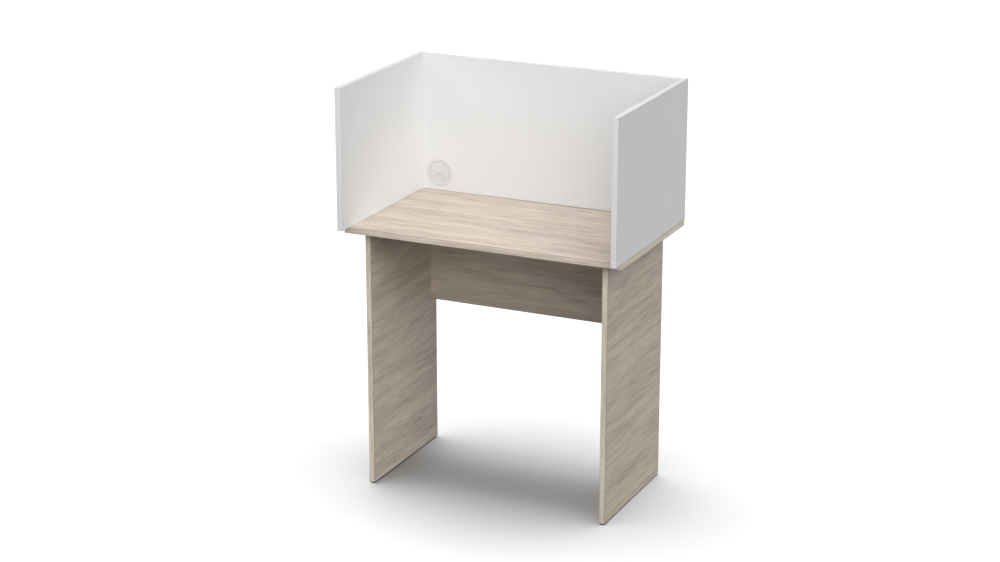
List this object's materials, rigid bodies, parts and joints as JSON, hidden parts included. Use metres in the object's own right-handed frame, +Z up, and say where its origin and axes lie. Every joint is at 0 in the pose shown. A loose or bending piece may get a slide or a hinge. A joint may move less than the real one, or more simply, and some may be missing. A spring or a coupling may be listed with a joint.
{
  "type": "study carrel",
  "caption": "Study carrel: a flat desktop on panel legs with a modesty panel, walled at the sides and back by tall screens, with a cable port low in the back screen.",
  "frame": {"origin": "on the floor, under the centre of the carrel's outline", "axes": "+Z up, the sitter at -Y facing +Y, +X to the sitter's right"},
  "size_m": [0.812, 0.5, 1.146],
  "materials": {
    "ash_laminate": "pale greyish ash print in matt melamine, straight grain with fine darker streaks",
    "ash_edging": "matt plastic edge band in the same pale ash print",
    "white_laminate": "plain white melamine with a faint fine texture",
    "white_edging": "plain white matt plastic edge band",
    "port_plastic": "pale grey moulded plastic, satin",
    "glide_plastic": "black moulded plastic",
    "cam_zinc": "cast zinc, dull grey",
    "plated_steel": "zinc-plated steel, bright",
    "beech": "bare turned beech"
  },
  "bodies": {
    "carrel": {"desktop": "ash_laminate", "left_leg": "ash_laminate", "right_leg": "ash_laminate", "modesty_panel": "ash_laminate", "left_screen": "white_laminate", "right_screen": "white_laminate", "back_screen": "white_laminate", "desktop_edge_front": "ash_edging", "desktop_edge_rear": "ash_edging", "desktop_edge_left": "ash_edging", "desktop_edge_right": "ash_edging", "left_leg_edge_front": "ash_edging", "left_leg_edge_rear": "ash_edging", "right_leg_edge_front": "ash_edging", "right_leg_edge_rear": "ash_edging", "modesty_panel_edge": "ash_edging", "left_screen_edging": "white_edging", "right_screen_edging": "white_edging", "back_screen_edge": "white_edging", "port_sleeve": "port_plastic", "left_glide_front": "glide_plastic", "left_glide_rear": "glide_plastic", "right_glide_front": "glide_plastic", "right_glide_rear": "glide_plastic", "left_leg_cam_front": "cam_zinc", "left_leg_bolt_front": "plated_steel", "left_leg_cam_rear": "cam_zinc", "left_leg_bolt_rear": "plated_steel", "left_leg_dowel": "beech", "left_panel_cam_lower": "cam_zinc", "left_panel_bolt_lower": "plated_steel", "left_panel_cam_upper": "cam_zinc", "left_panel_bolt_upper": "plated_steel", "left_panel_dowel": "beech", "left_screen_cam_lower": "cam_zinc", "left_screen_bolt_lower": "plated_steel", "left_screen_cam_upper": "cam_zinc", "left_screen_bolt_upper": "plated_steel", "left_screen_dowel": "beech", "left_screen_screw_front": "plated_steel", "left_screen_screw_rear": "plated_steel", "right_leg_cam_front": "cam_zinc", "right_leg_bolt_front": "plated_steel", "right_leg_cam_rear": "cam_zinc", "right_leg_bolt_rear": "plated_steel", "right_leg_dowel": "beech", "right_panel_cam_lower": "cam_zinc", "right_panel_bolt_lower": "plated_steel", "right_panel_cam_upper": "cam_zinc", "right_panel_bolt_upper": "plated_steel", "right_panel_dowel": "beech", "right_screen_cam_lower": "cam_zinc", "right_screen_bolt_lower": "plated_steel", "right_screen_cam_upper": "cam_zinc", "right_screen_bolt_upper": "plated_steel", "right_screen_dowel": "beech", "right_screen_screw_front": "plated_steel", "right_screen_screw_rear": "plated_steel"},
    "cap": {"port_cap": "port_plastic"}
  },
  "joints": [
    {"name": "cap_turn", "type": "hinge", "parent": "carrel", "child": "cap", "pos_m": [-0.336, 0.234, 0.804], "axis": [0, -1, 0], "continuous": true}
  ]
}
